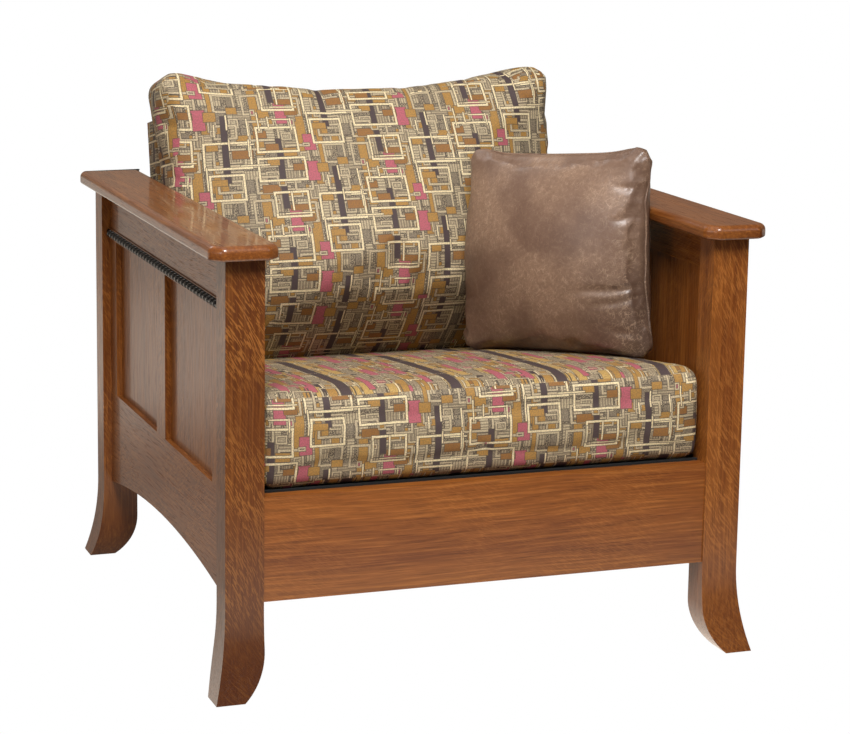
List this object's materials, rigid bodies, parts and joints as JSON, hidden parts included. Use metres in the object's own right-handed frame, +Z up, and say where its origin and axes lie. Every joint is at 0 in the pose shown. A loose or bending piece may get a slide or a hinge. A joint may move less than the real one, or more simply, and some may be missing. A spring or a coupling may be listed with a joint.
{
  "type": "lounge chair",
  "caption": "Panel-sided oak lounge chair with flared feet, flat arms, a sloping slatted deck, an upholstered back, loose cushions and a throw pillow",
  "frame": {"origin": "on the floor under the middle of the four feet", "axes": "+X is the sitter's left when seated and the right side seen from the front, the front faces -Y, +Z is up"},
  "size_m": [0.808, 0.8, 0.7807],
  "materials": {
    "stained_oak": "reddish-brown stained oak, semi-gloss lacquer",
    "inner_wood": "plain unfinished wood",
    "rope_black": "black painted twisted rope moulding",
    "jacquard": "woven geometric jacquard in cream, rust, raspberry, grey and aubergine",
    "deck_cloth": "black platform cloth",
    "webbing": "woven elastic webbing",
    "pillow_leather": "distressed brown leather with lighter scuffs"
  },
  "bodies": {
    "frame": {"arm_board_left": "stained_oak", "arm_board_right": "stained_oak", "arm_dowels_left": "inner_wood", "arm_dowels_right": "inner_wood", "back_foot_rail": "inner_wood", "back_frame_bottom_rail": "inner_wood", "back_frame_stile_left": "inner_wood", "back_frame_stile_right": "inner_wood", "back_frame_top_rail": "inner_wood", "back_pad": "jacquard", "back_post_left": "stained_oak", "back_post_right": "stained_oak", "back_rail": "stained_oak", "back_support_rail": "stained_oak", "back_web_1": "webbing", "back_web_2": "webbing", "back_web_3": "webbing", "deck_cleat_left": "inner_wood", "deck_cleat_right": "inner_wood", "deck_pad": "deck_cloth", "deck_slat_1": "inner_wood", "deck_slat_2": "inner_wood", "deck_slat_3": "inner_wood", "deck_slat_4": "inner_wood", "deck_slat_5": "inner_wood", "deck_slat_6": "inner_wood", "front_ledger": "inner_wood", "front_post_left": "stained_oak", "front_post_right": "stained_oak", "front_rail": "stained_oak", "outside_back": "jacquard", "rope_moulding_left": "rope_black", "rope_moulding_right": "rope_black", "side_back_panel_left": "stained_oak", "side_back_panel_right": "stained_oak", "side_back_stile_left": "stained_oak", "side_back_stile_right": "stained_oak", "side_bottom_rail_left": "stained_oak", "side_bottom_rail_right": "stained_oak", "side_front_panel_left": "stained_oak", "side_front_panel_right": "stained_oak", "side_front_stile_left": "stained_oak", "side_front_stile_right": "stained_oak", "side_mullion_left": "stained_oak", "side_mullion_right": "stained_oak", "side_top_rail_left": "stained_oak", "side_top_rail_right": "stained_oak"},
    "seat": {"seat_cushion": "jacquard"},
    "back": {"back_cushion": "jacquard"},
    "pillow": {"throw_pillow": "pillow_leather"}
  },
  "joints": [
    {"name": "seat_cushion_slide", "type": "slide", "parent": "frame", "child": "seat", "axis": [0, -0.9942, 0.108], "range_m": [0, 0.62]},
    {"name": "back_cushion_slide", "type": "slide", "parent": "frame", "child": "back", "axis": [0, 0.2079, 0.9781], "range_m": [0, 0.45]},
    {"name": "throw_pillow_slide", "type": "slide", "parent": "frame", "child": "pillow", "axis": [0, 0, 1], "range_m": [0, 0.35]}
  ]
}
